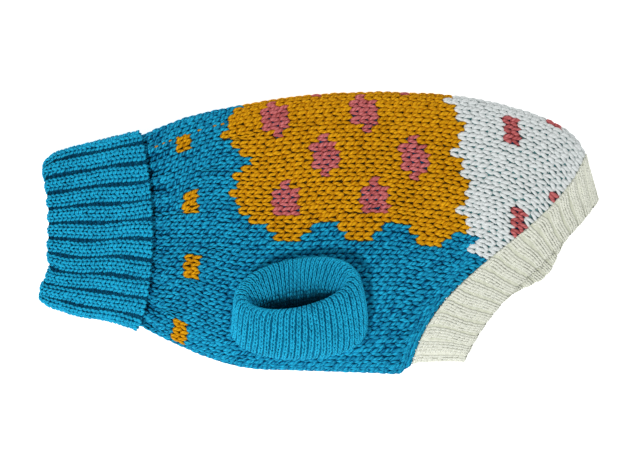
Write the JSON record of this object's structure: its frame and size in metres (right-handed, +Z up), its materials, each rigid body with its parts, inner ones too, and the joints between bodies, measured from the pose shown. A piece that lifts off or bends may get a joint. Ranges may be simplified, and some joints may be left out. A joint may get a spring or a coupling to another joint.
{
  "type": "dog sweater",
  "caption": "Knitted dog sweater laid flat on its side, with a turned-back ribbed neck, ribbed leg cuffs, a ribbed slanted rear hem and a colourwork body.",
  "frame": {"origin": "centre of the underside of the laid-out garment, on the surface that it rests on", "axes": "+X from the neck to the tail, +Y from the belly to the back, +Z up, out of the near side"},
  "size_m": [0.3734, 0.1876, 0.051],
  "materials": {
    "blue_yarn": "matt knitted acrylic",
    "ochre_yarn": "matt knitted acrylic",
    "pink_yarn": "matt knitted acrylic",
    "white_yarn": "matt knitted acrylic",
    "cream_yarn": "matt knitted acrylic"
  },
  "bodies": {
    "root": {"neck_collar": "blue_yarn", "body_panel": "blue_yarn", "hem_rib": "cream_yarn", "leg_cuff_upper": "blue_yarn", "leg_cuff_lower": "blue_yarn"}
  },
  "joints": []
}
